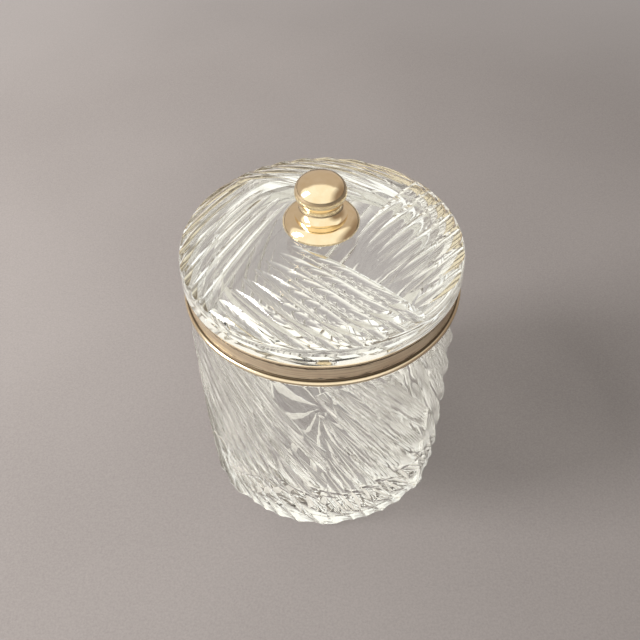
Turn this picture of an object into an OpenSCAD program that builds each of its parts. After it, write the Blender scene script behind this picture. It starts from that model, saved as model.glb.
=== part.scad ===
// Lidded candy dish in heavy cut glass, with a brass collar and a brass ball knob.
// Millimetres, +Z up. The origin is the middle of the foot, on the surface that the dish stands on.

/* [Main sizes] */
// Diameter of the lid, which is flush with the collar's lower bead
lid_d = 120; // [106:0.1:134]
// Height of the shoulder that the collar stands on
shoulder_h = 106; // [85:0.5:130]

/* [Jar glass] */
// How far the shoulder stands out past the neck
shoulder_w = 2.8; // [2.4:0.1:5]
// How much the wall draws in from the shoulder to the foot, on each side
wall_taper = 1.3; // [0.5:0.1:6]
// Height of the neck above the shoulder
neck_h = 10.6; // [8:0.1:16]
// Thickness of the glass at the neck
neck_t = 6.6; // [4:0.1:10]
// How much the inside draws in from the mouth to the floor, on each side
bore_taper = 12; // [2:0.1:16]
// Thickness of the solid base
base_t = 9; // [6:0.5:20]
// Radius between the floor and the inside wall
floor_round = 8; // [4:0.5:14]
// Radius of the foot's edge
foot_round = 2; // [1:0.25:4]
// Width of the ring that the dish stands on
foot_ring_w = 10.1; // [7:0.1:16]
// Depth of the hollow ground into the foot inside that ring
hollow_depth = 0.6; // [0.3:0.1:1.5]

/* [Wall flutes] */
// Number of panels of flutes round the wall; the flutes' points stand in upright rows between them
wall_panels = 7; // [6:1:9]
// Height of the highest flute's point above the shoulder
first_point_up = 9; // [4:0.5:16]
// Height from one flute's point to the next one's
flute_drop = 11.6; // [10:0.1:16]
// Height above the foot below which no flute begins
lowest_point_h = 30; // [28:0.5:50]
// Steepest angle of a panel's highest flute, from level
first_slope = 52.5; // [48:0.5:58]
// How much steeper each flute is than the one above it
slope_step = 2.6; // [1:0.1:3]
// Turn about the jar from the highest flute's point to its steepest place
first_turn = 50; // [44:1:56]
// How much less that turn is for each flute below
turn_step = 10; // [6:0.5:11]
// Depth of a flute where it meets the next panel or the foot
flute_depth = 1.5; // [0.8:0.05:1.8]
// Share of that depth reached halfway along
half_share = 0.9; // [0.5:0.05:1]
// Radius of the wheel's rounded edge that cuts the wall
flute_edge_r = 9; // [5:0.1:12]

/* [Foot star] */
// Number of rays
star_rays = 12; // [8:1:20]
// Radius where a ray begins
star_inner_r = 1.5; // [1:0.1:4]
// Length of a ray from its widest place to its outer end
star_tip = 11; // [6:0.5:16]
// Distance from a ray's outer end to the foot ring
star_margin = 3; // [1:0.5:8]
// Depth of a ray at its widest place
star_depth = 2.6; // [1:0.1:4]
// Width of a ray at its widest place
star_w = 5.8; // [4:0.1:10]

/* [Collar] */
// Height of the collar
collar_h = 12.1; // [10:0.1:18]
// Thickness of the collar's band
band_t = 1.2; // [0.8:0.1:2]
// Thickness of the lip that covers the glass rim
lip_t = 1.1; // [0.8:0.1:2]
// Width of that lip, measured in from the outside of the neck
lip_w = 3; // [2:0.1:6]
// Radius of the bead along the collar's lower edge
low_bead_r = 1.2; // [0.8:0.05:1.6]
// Radius of the bead along the collar's upper edge
top_bead_r = 0.9; // [0.6:0.05:1.2]
// Radius of the groove above the lower bead
low_groove_r = 0.6; // [0.3:0.05:0.8]
// Radius of the groove below the upper bead
top_groove_r = 0.35; // [0.2:0.05:0.6]
// Thickness of the plaster between glass and collar
plaster_t = 0.8; // [0.5:0.1:1.5]

/* [Lid glass] */
// Height of the lid's upright rim
rim_h = 10.6; // [8:0.1:14]
// Radius of the lid's domed top
dome_r = 160; // [120:1:240]
// Radius between the dome and the upright rim
rim_round = 4.5; // [2:0.1:6]
// Bevel along the lower edge of the rim
rim_bevel = 0.8; // [0.4:0.1:1.5]
// Thickness of the lid's glass
crown_t = 11; // [8:0.5:13]
// Height of the ring that centres the lid in the mouth
plug_h = 5; // [3:0.5:8]
// Thickness of that ring
plug_t = 5.2; // [3.5:0.1:7]
// Diameter of the hole for the knob's screw
hole_d = 7; // [6:0.1:8]

/* [Lid flutes] */
// Number of flute groups on the lid
lid_groups = 4; // [3:1:5]
// Number of flutes in a group
lid_flutes = 7; // [5:1:8]
// Distance of the innermost flute's point from the flat under the rosette
first_point_out = 3.6; // [2:0.1:8]
// Direction of that point from the middle
first_point_angle = 225; // [200:1:250]
// Distance of the outermost flute's point from the lid's edge
last_point_in = 5.4; // [4:0.1:12]
// Direction of that point from the middle
last_point_angle = 221; // [216:1:228]
// Heading of the innermost flute
first_heading = -32; // [-40:1:-24]
// Heading of the outermost flute
last_heading = -46; // [-54:1:-38]
// Share of a flute's length from its point to its deepest place
deepest_at = 0.8; // [0.6:0.05:0.95]
// Depth of a flute at its deepest place
lid_flute_depth = 1.3; // [0.8:0.05:1.6]
// Radius of the wheel's rounded edge that cuts the lid
lid_edge_r = 5; // [4:0.1:7]

/* [Knob] */
// Diameter of the ball
ball_d = 21.3; // [16:0.1:26]
// Height of the flattened ball
ball_h = 14; // [13:0.1:16]
// Radius of the ball's side, seen as an outline
ball_side_r = 6; // [5:0.1:6.2]
// Height of the ball's middle above the rosette
ball_lift = 11.4; // [10.8:0.1:17]
// Diameter of the neck
knob_neck_d = 15.6; // [13:0.1:17]
// Diameter of the bell at the knob's foot
bell_d = 21.8; // [19:0.1:26]
// Height of the bell's plain edge
bell_edge_h = 1.2; // [0.8:0.1:1.4]
// Radius of the hollow curve between neck and bell
cove_r = 4.1; // [3.2:0.1:4.6]
// Radius of the bead under the ball
knob_bead_r = 0.45; // [0.3:0.05:0.9]
// Depth of the screw's hole in the knob
knob_hole_h = 10; // [8:0.5:12]

/* [Rosette, washers and screw] */
// Diameter of the rosette
rosette_d = 31.6; // [28:0.1:38]
// Height of the rosette
rosette_h = 4; // [1.8:0.1:5]
// Thickness of the rosette's edge
rosette_edge_h = 0.9; // [0.6:0.1:1.4]
// Diameter of the soft washer under the rosette
upper_washer_d = 27; // [20:0.5:30]
// Thickness of that soft washer
upper_washer_t = 0.6; // [0.4:0.1:1.2]
// Diameter of the soft washer under the lid
lower_washer_d = 18; // [14:0.5:22]
// Thickness of that soft washer
lower_washer_t = 0.8; // [0.4:0.1:1.5]
// Diameter of the plain metal washer
plate_washer_d = 16; // [12:0.5:18]
// Thickness of the plain metal washer
plate_washer_t = 1; // [0.6:0.1:1.5]
// Diameter of the screw's shank
screw_d = 5; // [4:0.1:5.4]
// Diameter of the screw's head
screw_head_d = 9.2; // [8:0.1:11]
// Height of the screw's head
screw_head_h = 3; // [2:0.1:4]
// Width of the screwdriver slot
slot_w = 1.2; // [0.8:0.1:1.6]
// Depth of the screwdriver slot
slot_depth = 1.4; // [0.8:0.1:1.6]

/* [Clearances] */
// Gap between the lid's seat and the collar
seat_gap = 0.25; // [0.15:0.05:0.5]
// Gap all round the lid's centring ring
plug_gap = 0.9; // [0.5:0.1:1.5]
// Distance that the lower bead keeps from the band's inner face
bead_back = 0.2; // [0.1:0.05:0.5]
// Gap left by the plaster at upright faces
plaster_gap = 0.1; // [0.05:0.05:0.2]
// Gap between the lower edge of the collar and the shoulder
collar_gap = 0.3; // [0.1:0.1:0.6]
// Gap round the screw in the knob
thread_gap = 0.1; // [0.05:0.05:0.2]
// Room left above the screw's tip
tip_room = 1; // [0.5:0.1:2]
// Gap round the screw in the washers and the rosette
screw_gap = 0.4; // [0.2:0.1:0.8]
// Extra width of the flats that are ground for the rosette and the washers
flat_margin = 0.6; // [0.3:0.1:1.5]

/* [Hidden] */
$fn = 96;

// Reach of a cut past the surface that it opens
past = 5;
// How far a cutting wheel runs on beyond the end of a flute
run_on = 9;
// Share of the glass's own bulge that a wheel's path may leave out; the path then still bends with the glass
flattest = 0.7;
// Flutes are cut in this many passes, so that those of one pass lie clear of each other
passes = 6;
// Share of its radius by which the upper bead is sunk into the band, and a groove's middle stands out of it
bead_sink = 0.25;

// Radii from the lid in to the mouth, and from the shoulder down to the star
lid_r = lid_d / 2;
bead_x = lid_r - low_bead_r;
band_r = bead_x - low_bead_r - bead_back;
neck_r = band_r - plaster_t;
bore_r = neck_r - neck_t;
floor_r = bore_r - bore_taper;
wall_top_r = neck_r + shoulder_w;
foot_r = wall_top_r - wall_taper;
hollow_r = foot_r - foot_ring_w;
star_outer_r = hollow_r - star_margin;
star_wide_r = star_outer_r - star_tip;
wall_draft = atan(wall_taper / shoulder_h);

// Flutes of the wall
panel_turn = 360 / wall_panels;
flute_top_h = shoulder_h + first_point_up;
wall_flutes = floor((flute_top_h - lowest_point_h) / flute_drop) + 1;

// Collar
glass_rim_z = shoulder_h + neck_h;
collar_z = shoulder_h + collar_gap;
collar_top_z = collar_z + collar_h;
lip_z = collar_top_z - lip_t;
lip_r = neck_r - lip_w;

// Lid
seat_z = collar_top_z + seat_gap;
rim_top_z = seat_z + rim_h;
dome_z = rim_top_z - sqrt(dome_r ^ 2 - lid_r ^ 2);
plug_r = bore_r - plug_gap;
plug_inner_r = plug_r - plug_t;
top_flat_r = rosette_d / 2 + flat_margin;
top_flat_z = dome_z + sqrt(dome_r ^ 2 - top_flat_r ^ 2);
under_r = dome_r - crown_t;
under_flat_r = lower_washer_d / 2 + flat_margin;
under_flat_z = dome_z + under_r;

// Stack of the knob, from the glass up and from the glass down
rosette_z = top_flat_z + upper_washer_t;
knob_z = rosette_z + rosette_h;
lower_washer_z = under_flat_z - lower_washer_t;
plate_washer_z = lower_washer_z - plate_washer_t;
screw_r = screw_d / 2;
passage_r = screw_r + screw_gap;

brass = "#d9b26a";
champagne = "#b9a07c";
clear_glass = [0.86, 0.9, 0.9, 0.45];

// Radius of the jar's wall at a height
function wall_r(z) = foot_r + z * tan(wall_draft);

// Where the middle of a wheel's edge runs for a cut of some depth, on an elliptical section of the glass:
// side is the half axis across the glass, along the one that the cut follows, turn the angle on the ellipse
function edge_place(side, along, turn, depth, edge_r) =
    let (out = [cos(turn) / side, sin(turn) / along])
    [side * (cos(turn) - 1), along * sin(turn)] + out * (edge_r - depth) / norm(out);

// How far such a section stands out from the chord between two angles
function bulge(side, along, t0, t1) =
    let (
        start = edge_place(side, along, t0, 0, 0),
        chord = edge_place(side, along, t1, 0, 0) - start,
        out = edge_place(side, along, (t0 + t1) / 2, 0, 0) - start
    )
    (out.x * chord.y - out.y * chord.x) / norm(chord);

// Middle of the circle through three places
function circle_middle(a, b, c) =
    let (u = b - a, v = c - a, twice = 2 * (u.x * v.y - u.y * v.x))
    a + [v.y * (u * u) - u.y * (v * v), u.x * (v * v) - v.x * (u * u)] / twice;

// Direction of a place from the middle of its circle
function swing(place, middle) = atan2(place.y - middle.y, place.x - middle.x);

// Angle by which a wheel runs on past the end of a flute
function over_run(path_r) = atan(run_on / path_r);

// Solid left in the path of a cutting wheel with a rounded edge, swung from angle a0 to a1 about a middle:
// X points out of the glass, Y along the cut, and the surface lies at the local origin
module wheel_cut(middle, path_r, edge_r, a0, a1) {
    translate(middle)
        rotate([0, 0, a0])
            rotate_extrude(angle = a1 - a0)
                translate([path_r, 0])
                    circle(r = edge_r);
}

// Half outline of a cup shape: sides that lean out from r0 at z0 to r1 at z1, with its lower corner rounded
module cup_outline(r0, z0, r1, z1, corner_r) {
    lean = atan((r1 - r0) / (z1 - z0));
    corner_x = r0 + corner_r * (sin(lean) - 1) / cos(lean);
    polygon([
        [0, z0],
        [corner_x, z0],
        [corner_x + corner_r * cos(lean), z0 + corner_r * (1 - sin(lean))],
        [r1, z1],
        [0, z1]
    ]);
    translate([corner_x, z0 + corner_r])
        circle(r = corner_r);
}

// Jar glass before cutting: a thick cup with a stepped neck and a ground hollow in the foot
module jar_blank() {
    rotate_extrude()
        difference() {
            union() {
                intersection() {
                    cup_outline(foot_r, 0, wall_top_r, shoulder_h, foot_round);
                    square([lid_d, shoulder_h]);
                }
                square([neck_r, glass_rim_z]);
            }
            intersection() {
                cup_outline(floor_r, base_t, bore_r, glass_rim_z + past, floor_round);
                square([lid_d, glass_rim_z + past]);
            }
            translate([0, -past])
                square([hollow_r, hollow_depth + past]);
        }
}

// One prism with a V edge, whose ridge climbs from the foot's hollow at radius r0 and slope tilt
module ray_prism(r0, tilt) {
    reach = star_outer_r * 2;
    fall = star_depth * star_outer_r / star_tip + past;
    half_w = fall * star_w / star_depth / 2;
    translate([r0, 0, hollow_depth])
        rotate([0, -tilt, 0])
            rotate([90, 0, 90])
                linear_extrude(height = reach, center = true)
                    polygon([[0, 0], [-half_w, -fall], [half_w, -fall]]);
}

// One kite-shaped ray of the star, cut up into the foot
module star_ray() {
    inner_tilt = atan(star_depth / (star_wide_r - star_inner_r));
    outer_tilt = -atan(star_depth / star_tip);
    intersection() {
        ray_prism(star_inner_r, inner_tilt);
        ray_prism(star_outer_r, outer_tilt);
    }
}

module star() {
    for (i = [0 : star_rays - 1])
        rotate([0, 0, (i + 0.5) * 360 / star_rays])
            star_ray();
}

// Space past the row of points where the next panel begins
module next_panel() {
    rotate([0, 0, panel_turn - 90])
        translate([0, 0, -lid_d])
            cube([lid_d, lid_d, flute_top_h + 2 * lid_d]);
}

// Flute k of a wall panel, counted down from the collar: it ends at the next panel or runs out at the foot
module wall_flute(k) {
    slope = first_slope + k * slope_step;
    turn = first_turn - k * turn_step;
    point_z = flute_top_h - k * flute_drop;
    fall = wall_r(shoulder_h / 2) * tan(slope);
    foot_turn = turn + asin(min(1, point_z / fall - sin(turn)));
    last_turn = min(panel_turn, foot_turn) - turn;
    steepest_z = point_z - fall * sin(turn);
    side = wall_r(steepest_z);
    along = side / cos(slope);
    spare = flattest * bulge(side, along, -turn, last_turn);
    half_depth = min(half_share * flute_depth, flute_depth / 2 + spare);
    point = edge_place(side, along, -turn, 0, flute_edge_r);
    halfway = edge_place(side, along, (last_turn - turn) / 2, half_depth, flute_edge_r);
    end = edge_place(side, along, last_turn, flute_depth, flute_edge_r);
    wheel = circle_middle(point, halfway, end);
    path_r = norm(point - wheel);
    below_foot = (steepest_z + flute_edge_r + past) / sin(slope);
    stops = foot_turn > panel_turn;
    first_swing = swing(point, wheel) - over_run(path_r);
    last_swing = stops ? swing(end, wheel) + over_run(path_r) : asin((below_foot - wheel.y) / path_r);
    difference() {
        rotate([0, 0, turn - 90])
            translate([side, 0, steepest_z])
                rotate([0, wall_draft, 0])
                    rotate([-slope, 0, 0])
                        wheel_cut(wheel, path_r, flute_edge_r, first_swing, last_swing);
        if (stops)
            next_panel();
    }
}

// Cuts the wall flutes of pass p, and of the passes before it, from the children
module with_wall_flutes(p) {
    if (p < 0)
        children();
    else
        difference() {
            with_wall_flutes(p - 1)
                children();
            for (panel = [0 : wall_panels - 1], k = [p : passes : wall_flutes - 1])
                rotate([0, 0, panel * panel_turn])
                    wall_flute(k);
        }
}

module jar_body() {
    color(clear_glass)
        with_wall_flutes(passes - 1)
            difference() {
                jar_blank();
                star();
            }
}

// Spun brass collar: a flat band between two beads, with a lip over the glass rim
module rim_collar() {
    band_outer_r = band_r + band_t;
    top_bead_x = band_outer_r - bead_sink * top_bead_r;
    lip_x = lip_r + lip_t / 2;
    low_groove = [band_outer_r + bead_sink * low_groove_r, collar_z + 2 * low_bead_r + low_groove_r];
    top_groove = [band_outer_r + bead_sink * top_groove_r, collar_top_z - 2 * top_bead_r - top_groove_r];
    color(champagne)
        rotate_extrude()
            difference() {
                union() {
                    translate([band_r, collar_z])
                        square([band_t, collar_h - top_bead_r]);
                    translate([lip_x, lip_z])
                        square([top_bead_x - lip_x, lip_t]);
                    translate([lip_x, lip_z + lip_t / 2])
                        circle(r = lip_t / 2);
                    translate([bead_x, collar_z + low_bead_r])
                        circle(r = low_bead_r);
                    translate([top_bead_x, collar_top_z - top_bead_r])
                        circle(r = top_bead_r);
                }
                translate(low_groove)
                    circle(r = low_groove_r);
                translate(top_groove)
                    circle(r = top_groove_r);
            }
}

// Plaster that beds the collar on the neck and over the glass rim
module collar_plaster() {
    color("#e8e4da")
        rotate_extrude()
            difference() {
                translate([lip_r + lip_t, shoulder_h])
                    square([band_r - plaster_gap - lip_r - lip_t, lip_z - shoulder_h]);
                translate([0, shoulder_h - past])
                    square([neck_r + plaster_gap, neck_h + past]);
            }
}

// Lid glass before cutting: a domed disc with an upright rim, hollow below, with a centring ring
module lid_blank() {
    corner_x = lid_r - rim_round;
    corner_z = dome_z + sqrt((dome_r - rim_round) ^ 2 - corner_x ^ 2);
    stretch = dome_r / (dome_r - rim_round);
    rotate_extrude()
        difference() {
            union() {
                intersection() {
                    translate([0, dome_z])
                        circle(r = dome_r, $fn = 360);
                    polygon([
                        [0, seat_z],
                        [lid_r - rim_bevel, seat_z],
                        [lid_r, seat_z + rim_bevel],
                        [lid_r, corner_z],
                        [corner_x * stretch, dome_z + (corner_z - dome_z) * stretch],
                        [corner_x * stretch, dome_z + dome_r + past],
                        [0, dome_z + dome_r + past]
                    ]);
                }
                translate([corner_x, corner_z])
                    circle(r = rim_round);
                translate([0, seat_z - plug_h])
                    square([plug_r, plug_h + past]);
            }
            intersection() {
                translate([0, dome_z])
                    circle(r = under_r, $fn = 360);
                translate([0, seat_z - plug_h - past])
                    square([plug_inner_r, dome_r]);
            }
            translate([0, top_flat_z])
                square([top_flat_r, past]);
            translate([0, under_flat_z - past])
                square([under_flat_r, past]);
            translate([0, seat_z])
                square([hole_d / 2, dome_r]);
        }
}

// Flute k of one lid group: X points out of the dome at the flute's deepest place
module lid_flute(k) {
    step = k / (lid_flutes - 1);
    first = (top_flat_r + first_point_out) * [cos(first_point_angle), sin(first_point_angle)];
    last = (lid_r - last_point_in) * [cos(last_point_angle), sin(last_point_angle)];
    point = first + (last - first) * step;
    heading = first_heading + (last_heading - first_heading) * step;
    way = [cos(heading), sin(heading)];
    across = point.x * way.y - point.y * way.x;
    length = sqrt(lid_r ^ 2 - across ^ 2) - point * way;
    deepest = point + way * length * deepest_at;
    deepest_r = norm(deepest);
    facing = atan2(deepest.y, deepest.x);
    lean = asin(deepest_r / dome_r);
    turn = 2 * asin(length * deepest_at / dome_r / 2);
    fade = edge_place(dome_r, dome_r, -turn, 0, lid_edge_r);
    bottom = [lid_edge_r - lid_flute_depth, 0];
    wheel = circle_middle(fade, bottom, [fade.x, -fade.y]);
    path_r = norm(fade - wheel);
    rim_swing = asin((length * (1 - deepest_at) + 2 * lid_edge_r) / path_r);
    rotate([0, 0, facing])
        translate([deepest_r, 0, dome_z + dome_r * cos(lean)])
            rotate([0, lean - 90, 0])
                rotate([atan2(-cos(heading - facing) / cos(lean), sin(heading - facing)), 0, 0])
                    wheel_cut(wheel, path_r, lid_edge_r, swing(fade, wheel) - over_run(path_r), rim_swing);
}

// Cuts the lid flutes of pass p, and of the passes before it, from the children
module with_lid_flutes(p) {
    if (p < 0)
        children();
    else
        difference() {
            with_lid_flutes(p - 1)
                children();
            for (group = [0 : lid_groups - 1], k = [p : passes : lid_flutes - 1])
                rotate([0, 0, group * 360 / lid_groups])
                    lid_flute(k);
        }
}

module lid_glass() {
    color(clear_glass)
        with_lid_flutes(passes - 1)
            lid_blank();
}

// Half outline of the flattened ball, made of two tangent arcs on each side of its middle
module ball_outline() {
    half_h = ball_h / 2;
    side_x = ball_d / 2 - ball_side_r;
    cap_r = (side_x ^ 2 + half_h ^ 2 - ball_side_r ^ 2) / (2 * (half_h - ball_side_r));
    meet_x = side_x * cap_r / (cap_r - ball_side_r);
    translate([side_x, 0])
        circle(r = ball_side_r);
    intersection() {
        translate([0, half_h - cap_r])
            circle(r = cap_r);
        translate([0, cap_r - half_h])
            circle(r = cap_r);
        translate([0, -half_h])
            square([meet_x, ball_h]);
    }
}

// Turned brass knob: flattened ball, bead, neck and bell, with a blind hole for the screw
module lid_knob() {
    neck_x = knob_neck_d / 2;
    bell_x = bell_d / 2;
    cove_z = bell_edge_h + cove_r;
    bead_z = ball_lift - (ball_h / 2) * sqrt(1 - (knob_neck_d / ball_d) ^ 2) - knob_bead_r / 2;
    color(brass)
        translate([0, 0, knob_z])
            rotate_extrude()
                difference() {
                    intersection() {
                        union() {
                            translate([0, ball_lift])
                                ball_outline();
                            translate([neck_x, bead_z])
                                circle(r = knob_bead_r);
                            square([neck_x, ball_lift]);
                            difference() {
                                square([bell_x, cove_z]);
                                translate([neck_x + cove_r, cove_z])
                                    circle(r = cove_r);
                            }
                        }
                        square([ball_d + bell_d, ball_lift + ball_h]);
                    }
                    translate([0, -past])
                        square([screw_r + thread_gap, knob_hole_h + past]);
                }
}

// Turned rosette: a thin plain edge and a rounded shoulder, flat where the knob stands
module knob_rosette() {
    edge_x = rosette_d / 2;
    land_x = bell_d / 2;
    rise = rosette_h - rosette_edge_h;
    run = edge_x - land_x;
    arc_r = (run ^ 2 + rise ^ 2) / (2 * rise);
    color(brass)
        translate([0, 0, rosette_z])
            rotate_extrude()
                difference() {
                    union() {
                        square([edge_x, rosette_edge_h]);
                        intersection() {
                            translate([land_x, rosette_h - arc_r])
                                circle(r = arc_r);
                            translate([land_x, 0])
                                square([run, rosette_h]);
                        }
                        square([land_x, rosette_h]);
                    }
                    translate([0, -past])
                        square([passage_r, rosette_h + 2 * past]);
                }
}

// Flat ring of thickness t with its lower face at z
module ring(outer_d, inner_r, z, t) {
    translate([0, 0, z])
        difference() {
            cylinder(d = outer_d, h = t);
            translate([0, 0, -past])
                cylinder(r = inner_r, h = t + 2 * past);
        }
}

module upper_washer() {
    color("#d8d2c4")
        ring(upper_washer_d, passage_r, rosette_z - upper_washer_t, upper_washer_t);
}

module lower_washer() {
    color("#d8d2c4")
        ring(lower_washer_d, passage_r, lower_washer_z, lower_washer_t);
}

module plate_washer() {
    color(brass)
        ring(plate_washer_d, passage_r, plate_washer_z, plate_washer_t);
}

// Slotted screw from below, through lid and rosette into the knob
module knob_screw() {
    shank_h = knob_z + knob_hole_h - tip_room - plate_washer_z;
    color(brass)
        difference() {
            union() {
                translate([0, 0, plate_washer_z - screw_head_h])
                    cylinder(d = screw_head_d, h = screw_head_h);
                translate([0, 0, plate_washer_z - screw_head_h / 2])
                    cylinder(r = screw_r, h = shank_h + screw_head_h / 2);
            }
            translate([-screw_head_d, -slot_w / 2, plate_washer_z - screw_head_h - past])
                cube([2 * screw_head_d, slot_w, slot_depth + past]);
        }
}

jar_body();
rim_collar();
collar_plaster();
lid_glass();
lid_knob();
knob_rosette();
upper_washer();
lower_washer();
plate_washer();
knob_screw();
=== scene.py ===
# %% [markdown]
# # A lidded candy dish in cut crystal
# The dish is a thick crystal jar whose wall, foot and lid were cut on a wheel, with a spun brass collar
# bedded on its neck and a turned brass knob screwed to its lid. The solids hold every cut already, so the
# work left for Blender is what they are made of and how light meets them.

# %% Load the solids
import math

import bmesh
import bpy
from mathutils import Matrix, Vector

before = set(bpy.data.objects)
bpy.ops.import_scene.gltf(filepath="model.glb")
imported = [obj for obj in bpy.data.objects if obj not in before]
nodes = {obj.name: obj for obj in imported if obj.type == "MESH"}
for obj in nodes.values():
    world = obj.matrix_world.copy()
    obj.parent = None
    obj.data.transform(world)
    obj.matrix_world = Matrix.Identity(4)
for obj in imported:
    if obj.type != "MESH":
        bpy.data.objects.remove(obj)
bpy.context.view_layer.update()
scene = bpy.context.scene
print("solids:", sorted(nodes))

# %% [markdown]
# ## The camera
# The photograph looks down on the dish at about 46 degrees from close by, with a very slight lean of the
# hand. A Track To constraint could aim the camera, but it keeps it level. The place was worked out from the
# circles of the foot, the collar and the lid, so the camera is given by its own three axes.

# %% Camera at the photograph's angle
PICTURE_PIXELS = 640
LENS_PIXELS = 900
SENSOR_MM = 36.0
NEAREST = 0.01
LOOK_AT = Vector((-0.00138, 0, 0.08184))
DISTANCE = 0.41106
ELEVATION = math.radians(46.47)
LEAN = math.radians(-1.25)

back = Vector((0, -math.cos(ELEVATION), math.sin(ELEVATION)))
sideways = Vector((1, 0, 0))
upright = back.cross(sideways)
camera_right = sideways * math.cos(LEAN) + upright * math.sin(LEAN)
camera_up = upright * math.cos(LEAN) - sideways * math.sin(LEAN)
camera_turn = Matrix((camera_right, camera_up, back)).transposed().to_4x4()
lens = bpy.data.cameras.new("camera")
lens.sensor_width = SENSOR_MM
lens.lens = SENSOR_MM * LENS_PIXELS / PICTURE_PIXELS
lens.clip_start = NEAREST
camera = bpy.data.objects.new("camera", lens)
camera.matrix_world = Matrix.Translation(LOOK_AT + back * DISTANCE) @ camera_turn
scene.collection.objects.link(camera)
scene.camera = camera
print("camera at", [round(x, 4) for x in camera.location], "lens", round(lens.lens, 2))

# %% [markdown]
# ## Writing shaders as sums
# A finish is a small graph of nodes. Written out link by link it hides its own idea, so a socket is wrapped
# in a class whose operators add Math nodes, and every other node comes from one method.

# %% A socket that does sums
class Wire:
    def __init__(self, tree, socket=None):
        self.tree, self.socket = tree, socket

    def node(self, kind, settings=None, sockets=None, output=0):
        made = self.tree.nodes.new("ShaderNode" + kind)
        for name, value in (settings or {}).items():
            if name == "stops":
                ramp = made.color_ramp.elements
                while len(ramp) < len(value):
                    ramp.new(0.5)
                for stop, (position, shade) in zip(ramp, value):
                    stop.position, stop.color = position, (*shade, 1)
            else:
                setattr(made, name, value)
        for name, value in (sockets or {}).items():
            if isinstance(value, Wire):
                self.tree.links.new(value.socket, made.inputs[name])
            else:
                made.inputs[name].default_value = value
        return Wire(self.tree, made.outputs[output]) if made.outputs else None

    def sum(self, operation, *terms):
        return self.node("Math", {"operation": operation}, dict(enumerate(terms)))

    def __add__(self, other):
        return self.sum("ADD", self, other)

    def __sub__(self, other):
        return self.sum("SUBTRACT", self, other)

    def __rsub__(self, other):
        return self.sum("SUBTRACT", other, self)

    def __mul__(self, other):
        return self.sum("MULTIPLY", self, other)

    __radd__, __rmul__ = __add__, __mul__


print("a wire knows + - and *")

# %% [markdown]
# ## Words for the finishes
# Every finish here reads Object coordinates, so its grain stays on its piece wherever the piece goes. A few
# short helpers name what all of them need: a noise, a scale of colours, a bump, a soft step from one value
# to another. Nearly all values of a noise lie between 0.3 and 0.7, so tones are spread over that span.

# %% Helpers for the finishes
NOISE_LOW, NOISE_HIGH = 0.3, 0.7


def start_finish(name):
    material = bpy.data.materials.new(name)
    material.use_nodes = True
    material.node_tree.nodes.clear()
    place = Wire(material.node_tree).node("TexCoord", output="Object")
    return material, place


def surface(place, shader):
    place.node("OutputMaterial", sockets={"Surface": shader})


def noise(place, scale, detail=2.0, roughness=0.5, vector=None):
    sockets = {"Vector": vector or place, "Scale": scale, "Detail": detail, "Roughness": roughness}
    return place.node("TexNoise", sockets=sockets)


def shades(place, factor, *stops):
    return place.node("ValToRGB", {"stops": stops}, {"Fac": factor})


def two_tone(place, factor, dark, light):
    return shades(place, factor, (NOISE_LOW, dark), (NOISE_HIGH, light))


def bump(place, relief, depth, strength=1.0):
    return place.node("Bump", sockets={"Height": relief, "Distance": depth, "Strength": strength})


def ranged(place, value, low, high, to_low, to_high):
    sockets = {"Value": value, "From Min": low, "From Max": high, "To Min": to_low, "To Max": to_high}
    return place.node("MapRange", sockets=sockets)


def over_noise(place, value, to_low, to_high):
    return ranged(place, value, NOISE_LOW, NOISE_HIGH, to_low, to_high)


def between(place, value, low, high, soft):
    above = ranged(place, value, low - soft, low + soft, 0, 1)
    return above * ranged(place, value, high - soft, high + soft, 1, 0)


def blend(place, factor, first, second):
    sockets = {"Factor": factor, "A": first, "B": second}
    return place.node("Mix", {"data_type": "RGBA"}, sockets, output="Result")


def mixed(place, factor, first, second):
    return place.node("MixShader", sockets={"Fac": factor, 1: first, 2: second})


def glow(place, colour):
    return place.node("Emission", sockets={"Color": colour})


def ray(place, question):
    return place.node("LightPath", output=question)


def height(place):
    return place.node("SeparateXYZ", sockets={"Vector": place}, output="Z")


def from_axis(place):
    flat = place.node("VectorMath", {"operation": "MULTIPLY"}, {0: place, 1: (1, 1, 0)})
    return place.node("VectorMath", {"operation": "LENGTH"}, {0: flat}, output="Value")


def give(material, *names):
    for name in names:
        mesh = nodes[name].data
        mesh.materials.clear()
        mesh.materials.append(material)
        print(name, "is", material.name)


print("shader helpers ready")

# %% [markdown]
# ## Crystal
# Lead crystal bends light more than window glass does, which is why its cuts sparkle. Wall and lid were
# polished after cutting and keep only a trace of the wheel, so they get the faintest waviness. The grooves
# of the star under the foot throw light back and look cream, so they get a rough cream finish as a painted
# reflection, and rays that come through the glass see them glow in that cream, which is painted light. The
# Principled shader with full transmission makes the glass, and two shortcuts keep the picture calm. Light
# for the table passes straight through, and a ray that is still caught in the glass after many turns takes a
# painted dim brown glow, a painted shade which draws the dark lines that real crystal has between its cuts.

# %% Crystal
CRYSTAL_IOR = 1.545
CLEAR = (0.99, 0.997, 0.993, 1)
SMEAR_SCALE, SMEAR_FROM, SMEAR_TO, SMEAR_ROUGHNESS = 90, 0.5, 0.75, 0.006
WAVE_SCALE, WAVE_DEPTH = 160, 0.000015
GRIT_SCALE, GRIT_DEPTH = 1500, 0.00004
CREAM_DARK, CREAM_LIGHT = (0.80, 0.74, 0.63), (1.0, 0.96, 0.86)
STAR_LOW, STAR_HIGH, STAR_RADIUS = 0.0007, 0.0036, 0.046
STAR_SOFT, STAR_FADE, STAR_COVER = 0.00008, 0.0005, 0.75
LONGEST_WAY = 9
CAUGHT = (0.25, 0.22, 0.18, 1)
SHADOW_TINT = (0.90, 0.90, 0.895, 1)


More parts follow.
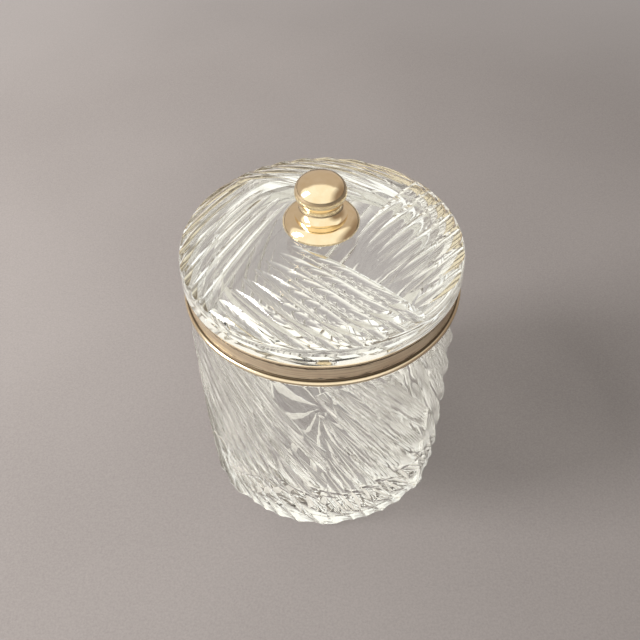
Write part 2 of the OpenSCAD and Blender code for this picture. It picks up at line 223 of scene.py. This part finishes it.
def polished_glass(place):
    smears = noise(place, SMEAR_SCALE, 3)
    waves = noise(place, WAVE_SCALE, 1)
    return place.node("BsdfPrincipled", sockets={
        "Base Color": CLEAR,
        "Roughness": ranged(place, smears, SMEAR_FROM, SMEAR_TO, 0.0, SMEAR_ROUGHNESS),
        "IOR": CRYSTAL_IOR,
        "Transmission Weight": 1.0,
        "Normal": bump(place, waves, WAVE_DEPTH),
    })


# Painted reflection and painted light: the star's grooves get a rough cream finish, and they glow cream for
# rays through glass.
def painted_cream_star(place):
    grit = noise(place, GRIT_SCALE, 3, 0.6)
    cream = two_tone(place, grit, CREAM_DARK, CREAM_LIGHT)
    rough = place.node("BsdfPrincipled", sockets={
        "Base Color": cream,
        "Roughness": over_noise(place, grit, 0.5, 0.8),
        "Normal": bump(place, grit, GRIT_DEPTH),
    })
    return mixed(place, ray(place, "Is Transmission Ray"), rough, glow(place, cream))


def crystal():
    material, place = start_finish("cut_crystal")
    star = between(place, height(place), STAR_LOW, STAR_HIGH, STAR_SOFT)
    star = star * ranged(place, from_axis(place), STAR_RADIUS, STAR_RADIUS + STAR_FADE, 1, 0)
    cut = mixed(place, star * STAR_COVER, polished_glass(place), painted_cream_star(place))
    # Rays lost in the glass glow a dim brown: painted shade for the dark lines between the cuts.
    lost = place.sum("GREATER_THAN", ray(place, "Ray Depth"), LONGEST_WAY)
    seen = mixed(place, lost, cut, glow(place, CAUGHT))
    through = place.node("BsdfTransparent", sockets={"Color": SHADOW_TINT})
    surface(place, mixed(place, ray(place, "Is Shadow Ray"), seen, through))
    return material


give(crystal(), "jar_body", "lid_glass")

# %% [markdown]
# ## Polished brass
# Knob and rosette are turned on a lathe, buffed and lacquered. Buffing leaves a mirror with very fine rings
# round the axis and slightly duller patches where fingers go. An anisotropic shader could give the rings,
# but a noise that is squeezed along the axis needs no tangents and can be baked.

# %% Polished brass
BRASS_DARK, BRASS_LIGHT = (0.89, 0.72, 0.45), (0.96, 0.81, 0.55)
CLOUD_SCALE = 240
LATHE_LINES, LATHE_DEPTH = (30, 30, 9000), 0.00001


def stretched(place, scale):
    return place.node("Mapping", sockets={"Vector": place, "Scale": scale})


def polished_brass():
    material, place = start_finish("polished_brass")
    cloud = noise(place, CLOUD_SCALE, 3)
    rings = noise(place, 1.0, 2, vector=stretched(place, LATHE_LINES))
    surface(place, place.node("BsdfPrincipled", sockets={
        "Base Color": two_tone(place, cloud, BRASS_DARK, BRASS_LIGHT),
        "Metallic": 1.0,
        "Roughness": over_noise(place, cloud, 0.04, 0.09),
        "Normal": bump(place, rings, LATHE_DEPTH),
    }))
    return material


give(polished_brass(), "lid_knob", "knob_rosette", "knob_screw", "plate_washer")

# %% [markdown]
# ## Collar
# The collar is spun from sheet brass over a form. Its band is brushed while it turns, so the scratches run
# level, and its two grooves are darkened with grime and painted shade. The beads stand proud and are rubbed
# bright by hands and cloths.
# These zones could be painted as a mask, but they are plain rings, so the height above the collar's lower
# edge and the distance from the axis tell them apart.

# %% Zones of the collar
BAND, BAND_MIDDLE = (0.0030, 0.0100), (0.0046, 0.0088)
LOW_GROOVE, TOP_GROOVE = (0.0023, 0.0034), (0.0094, 0.0102)
ZONE_SHARP, ZONE_SOFT = 0.0001, 0.0006
LIP_RADIUS, LIP_EDGE = 0.0582, 0.0002

collar = nodes["rim_collar"]
collar_foot = min((collar.matrix_world @ corner.co).z for corner in collar.data.vertices)


def collar_zones(place):
    rise = height(place) - collar_foot
    band = between(place, rise, *BAND, ZONE_SHARP)
    edges = band * (1 - between(place, rise, *BAND_MIDDLE, ZONE_SOFT))
    groove = between(place, rise, *LOW_GROOVE, ZONE_SHARP) + between(place, rise, *TOP_GROOVE, ZONE_SHARP)
    lip = ranged(place, from_axis(place), LIP_RADIUS - LIP_EDGE, LIP_RADIUS, 1, 0)
    return band, edges, groove, lip


print("collar starts", round(collar_foot, 4), "m up")

# %% Collar
BRUSH_LINES, SCRATCH_LINES, LINE_DEPTH = (30, 30, 2400), (220, 220, 2600), 0.00002
NICK_FROM, NICK_TO, NICK_GRIME, GROOVE_SHADE_AND_GRIME = 0.55, 0.62, 0.8, 0.92
STAIN_SCALE, LINE_SHARE = 70, 0.7
BEAD_DARK, BEAD_LIGHT = (0.84, 0.70, 0.48), (0.93, 0.80, 0.58)
WORN = (0.40, (0.76, 0.60, 0.42)), (0.56, (1.0, 0.87, 0.65))
LIP_SHADE_UNDER_LID = (0.66, 0.58, 0.44, 1)
GRIME_AND_SHADE = (0.07, 0.045, 0.025, 1)
BAND_ROUGHER, GROOVE_ROUGHER = 0.20, 0.3


def satin_collar():
    material, place = start_finish("satin_collar")
    band, edges, groove, lip = collar_zones(place)
    lines = noise(place, 1.0, 3, 0.6, vector=stretched(place, BRUSH_LINES))
    scratches = noise(place, 1.0, 2, 0.5, vector=stretched(place, SCRATCH_LINES))
    nicks = ranged(place, scratches, NICK_FROM, NICK_TO, 0, 1)
    stains = noise(place, STAIN_SCALE, 4, 0.6)
    bright = two_tone(place, stains, BEAD_DARK, BEAD_LIGHT)
    worn = shades(place, lines * LINE_SHARE + stains * (1 - LINE_SHARE), *WORN)
    colour = blend(place, band, bright, worn)
    # Under the lid's rim the lip gets a darker brass: painted shade between collar and lid.
    colour = blend(place, lip, colour, LIP_SHADE_UNDER_LID)
    colour = blend(place, edges * nicks * NICK_GRIME, colour, GRIME_AND_SHADE)
    # The grooves are darkened: painted shade in the recesses together with grime. The nicks above are grime
    # only.
    colour = blend(place, groove * GROOVE_SHADE_AND_GRIME, colour, GRIME_AND_SHADE)
    brushed = over_noise(place, lines, 0.10, 0.16)
    surface(place, place.node("BsdfPrincipled", sockets={
        "Base Color": colour,
        "Metallic": 1.0,
        "Roughness": brushed + band * BAND_ROUGHER + groove * GROOVE_ROUGHER,
        "Normal": bump(place, lines * band, LINE_DEPTH),
    }))
    return material


give(satin_collar(), "rim_collar")

# %% [markdown]
# ## Plaster and washers
# Plaster beds the collar on the rough neck, and soft washers keep the screw's pull off the glass. Both are
# dull and grainy and seen only through glass, so one plain recipe serves for both. The light that glass lets
# in isn't traced this far, so for a ray that comes through glass they glow in their own colour, painted
# light in place of that daylight.

# %% Plaster and washers
GRAIN_SCALE, GRAIN_DEPTH = 900, 0.00005
ROUGHNESS_SPREAD = 0.08
PAINTED_GLOW_SHARE = 0.9


def matte(name, dark, light, roughness):
    material, place = start_finish(name)
    grain = noise(place, GRAIN_SCALE, 4, 0.6)
    colour = two_tone(place, grain, dark, light)
    dull = place.node("BsdfPrincipled", sockets={
        "Base Color": colour,
        "Roughness": over_noise(place, grain, roughness - ROUGHNESS_SPREAD, roughness + ROUGHNESS_SPREAD),
        "Normal": bump(place, grain, GRAIN_DEPTH),
    })
    through_glass = ray(place, "Is Transmission Ray")
    # Painted light: rays through glass see the plaster and washers glow in their own colour.
    surface(place, mixed(place, through_glass * PAINTED_GLOW_SHARE, dull, glow(place, colour)))
    return material


plaster = matte("plaster_bed", dark=(0.66, 0.62, 0.52), light=(0.84, 0.80, 0.69), roughness=0.8)
washer = matte("soft_washer", dark=(0.62, 0.59, 0.52), light=(0.74, 0.71, 0.64), roughness=0.55)
give(plaster, "collar_plaster")
give(washer, "upper_washer", "lower_washer")

# %% [markdown]
# ## Light on the table
# A glass dish gathers light and throws it on the table in a ring under its thick wall. Tracing that light
# takes very many rays, so the ring is painted into the paper as a glow, for rays that come through the glass
# and only for those. A list of distances and levels says how strong it is. Under the wall it breaks into
# sharp bright and dim patches of painted light and painted shade, round the dish it is soft, and far away
# the paper is painted fully lit, as pale as the room. Inside the foot's ring the paper gets a painted shade.

# %% Light on the table
RING = ((0.0, 0), (0.041, 0), (0.045, 0.74), (0.061, 0.74), (0.068, 0.52), (0.095, 0.46), (0.11, 0))
RING_SPAN, RING_FULL = 0.12, 0.2
WALL_ENDS = (0.058, 0.066)
PATCH_SCALE, PATCH_EDGE = 110, 0.02
SOFT_SCALE, SOFT_EDGE = 45, 0.12
LIT_ABOVE, RING_HELP = 0.64, 0.26
DIM_BELOW, DIM_EDGE, DIM_SHARE = 0.38, 0.42, 0.85
FAR_TABLE = (0.165, 0.27)
SHADE_RADIUS, SHADE_EDGE, SHADE_SHARE = 0.044, 0.004, 0.45
LIT, DIM, SHADE = (1.15, 1.10, 0.97, 1), (0.10, 0.08, 0.065, 1), (0.10, 0.075, 0.07, 1)


def gathered_light(place, colour):
    away = from_axis(place)
    stops = tuple((at / RING_SPAN, (level, level, level)) for at, level in RING)
    ring = shades(place, away * (1 / RING_SPAN), *stops)
    outside = ranged(place, away, *WALL_ENDS, 0, 1)
    in_ring = ranged(place, ring, 0, RING_FULL, 0, 1)
    under, around = in_ring * (1 - outside), in_ring * outside
    patches, soft_patches = noise(place, PATCH_SCALE, 0), noise(place, SOFT_SCALE, 0)
    needed = LIT_ABOVE - ring * RING_HELP
    dim = ranged(place, patches, DIM_BELOW, DIM_EDGE, DIM_SHARE, 0) * under
    lit = ranged(place, patches - needed, -PATCH_EDGE, PATCH_EDGE, 0, 1) * under
    lit = lit + ranged(place, soft_patches - needed, -SOFT_EDGE, SOFT_EDGE, 0, 1) * around
    lit = lit + ranged(place, away, *FAR_TABLE, 0, 1)
    light = blend(place, lit, blend(place, dim, colour, DIM), LIT)
    # Painted shade: the paper inside the foot's ring is darkened.
    shade = ranged(place, away, SHADE_RADIUS - SHADE_EDGE, SHADE_RADIUS, SHADE_SHARE, 0)
    return blend(place, shade, light, SHADE)


print("ring of light from", RING[1][0], "to", RING[-1][0], "m")

# %% [markdown]
# ## Table
# The dish stands on a sheet of warm grey paper with a fine grain. A studio sheet is swept up behind the
# object so that no edge shows. Here it stays flat, and far out it fades into a plain backdrop of one colour
# for the camera, which looks the same from every side.

# %% Table
PAPER_SCALE, PAPER_DEPTH, PAPER_BUMP = 1000, 0.00006, 0.5
BLOTCH_SCALE, GRAIN_SHARE = 5, 0.6
PAPER = (0.35, (0.350, 0.315, 0.300)), (0.65, (0.450, 0.408, 0.390))
PAPER_ROUGHNESS = 0.75
SWEEP = (0.36, 0.95)
BACKDROP = (0.46, 0.43, 0.415, 1)
TABLE_HALF, TABLE_DROP = 3.0, 0.0002


def grey_paper():
    material, place = start_finish("grey_paper")
    grain = noise(place, PAPER_SCALE, 3, 0.7)
    blotches = noise(place, BLOTCH_SCALE, 2)
    colour = shades(place, grain * GRAIN_SHARE + blotches * (1 - GRAIN_SHARE), *PAPER)
    sheet = place.node("BsdfPrincipled", sockets={
        "Base Color": colour,
        "Roughness": PAPER_ROUGHNESS,
        "Normal": bump(place, grain, PAPER_DEPTH, PAPER_BUMP),
    })
    through_glass = ray(place, "Is Transmission Ray")
    seen = mixed(place, through_glass * PAINTED_GLOW_SHARE, sheet, glow(place, gathered_light(place, colour)))
    sweep = ranged(place, from_axis(place), *SWEEP, 0, 1) * ray(place, "Is Camera Ray")
    surface(place, mixed(place, sweep, seen, glow(place, BACKDROP)))
    return material


shape = bmesh.new()
bmesh.ops.create_grid(shape, x_segments=1, y_segments=1, size=TABLE_HALF)
bmesh.ops.translate(shape, verts=shape.verts, vec=(0, 0, -TABLE_DROP))
floor_mesh = bpy.data.meshes.new("table")
shape.to_mesh(floor_mesh)
shape.free()
floor_mesh.materials.append(grey_paper())
floor = bpy.data.objects.new("table", floor_mesh)
scene.collection.objects.link(floor)
print("table is", TABLE_HALF * 2, "m wide")

# %% [markdown]
# ## Light
# The dish stands beside a tall window on its left, under a pale ceiling. Two broad lamps light the table as
# these do, and the room itself follows in the next step. Neither lamp shows straight through the glass: a
# cut that caught one would be a hard white splinter. The ceiling only lifts the shadow, so it casts none.

# %% Window and ceiling
def soft_lamp(name, place, aim, size, power, colour):
    data = bpy.data.lights.new(name, "AREA")
    data.shape = "RECTANGLE"
    data.size, data.size_y = size
    data.energy = power
    data.color = colour
    lamp = bpy.data.objects.new(name, data)
    lamp.location = place
    lamp.rotation_euler = (Vector(aim) - Vector(place)).to_track_quat("-Z", "Y").to_euler()
    scene.collection.objects.link(lamp)
    lamp.visible_camera = False
    lamp.visible_transmission = False
    return lamp


soft_lamp("window", place=(-1.05, -0.18, 0.80), aim=(0, 0, 0.05), size=(0.35, 0.9),
          power=19, colour=(1.0, 0.98, 0.96))
ceiling = soft_lamp("ceiling", place=(-0.75, 0.8, 0.8), aim=(-0.25, 0.3, 0), size=(0.6, 0.6),
                    power=6.2, colour=(1.0, 0.99, 0.98))
ceiling.visible_glossy = False
ceiling.data.use_shadow = False
print("lamps:", [lamp.name for lamp in bpy.data.lights])

# %% [markdown]
# ## Room
# Glass and polished metal have no colour to show but what stands round them. A photographed room would do,
# but a smooth shade of direction needs no picture. Metal sees a white ceiling, a warm grey wall behind the
# dish and a dim corner on the right. Glass sees the room paler, because each cut mixes many directions, with
# brown furniture low down.

# %% Room
BACK_WALL, RIGHT, UP, BACK_RIGHT = (0, 0.914, -0.407), (1, 0, 0), (0, 0, 1), (0.8, 0.6, 0)
CEILING_WHITE, WALL_GREY = (1.0, 0.98, 0.94, 1), (0.50, 0.435, 0.395, 1)
CORNER_BROWN, FURNITURE_BROWN = (0.28, 0.22, 0.18, 1), (0.16, 0.12, 0.09, 1)
PALE_WARM, PALE_COOL = (0.95, 0.92, 0.81, 1), (0.93, 0.94, 0.89, 1)
FURNITURE_SCALE, FURNITURE_EDGE, FURNITURE_SHARE = 3.2, (0.47, 0.51), 0.9
FURNITURE_LOW, FURNITURE_TOP, FURNITURE_SOFT = -0.2, 0.42, 0.08

world = bpy.data.worlds.new("room")
world.use_nodes = True
world.node_tree.nodes.clear()
air = Wire(world.node_tree)
direction = air.node("TexCoord", output="Generated")


def towards(aim):
    return air.node("VectorMath", {"operation": "DOT_PRODUCT"}, {0: direction, 1: aim}, output="Value")


wall = ranged(air, towards(BACK_WALL), -0.04, 0.06, 0, 1)
corner = ranged(air, towards(RIGHT), 0.55, 0.90, 0, 1)
for_metal = blend(air, corner, blend(air, wall, CEILING_WHITE, WALL_GREY), CORNER_BROWN)
cool = ranged(air, towards(BACK_RIGHT), -0.2, 0.9, 0, 1)
low = between(air, towards(UP), FURNITURE_LOW, FURNITURE_TOP, FURNITURE_SOFT)
low = low * ranged(air, towards(RIGHT), -0.6, 0.4, 0.5, 1)
blocks = noise(air, FURNITURE_SCALE, 1, vector=direction)
furniture = ranged(air, blocks, *FURNITURE_EDGE, 0, FURNITURE_SHARE) * low
for_glass = blend(air, furniture, blend(air, cool, PALE_WARM, PALE_COOL), FURNITURE_BROWN)
print("room has", len(world.node_tree.nodes), "nodes so far")

# %% [markdown]
# ## Who sees which room
# A world can answer each kind of ray in its own way. Glass gets the pale room, a little brighter, metal the
# plain one, and the camera the backdrop. The table gets little of it, because the lamps light it. Thick cut
# glass turns a ray many times, so many bounces are allowed. Gathered light is shaded, so none is traced.

# %% Who sees which room
ROOM_LEVEL, GLASS_MORE, BACKDROP_LESS, TABLE_LESS = 1.12, 0.22, 0.12, 1.03
BOUNCES = 24

seen_through = ray(air, "Is Transmission Ray")
on_table = ray(air, "Is Diffuse Ray")
straight = ray(air, "Is Camera Ray")
room = blend(air, straight, blend(air, seen_through, for_metal, for_glass), BACKDROP)
strength = ROOM_LEVEL + seen_through * GLASS_MORE - straight * BACKDROP_LESS - on_table * TABLE_LESS
shine = air.node("Background", sockets={"Color": room, "Strength": strength})
air.node("OutputWorld", sockets={"Surface": shine})
scene.world = world
scene.view_settings.view_transform = "Standard"
scene.cycles.max_bounces = BOUNCES
scene.cycles.transmission_bounces = BOUNCES
scene.cycles.glossy_bounces = BOUNCES
scene.cycles.caustics_refractive = False
scene.cycles.caustics_reflective = False
print("room is lit, with", BOUNCES, "bounces")
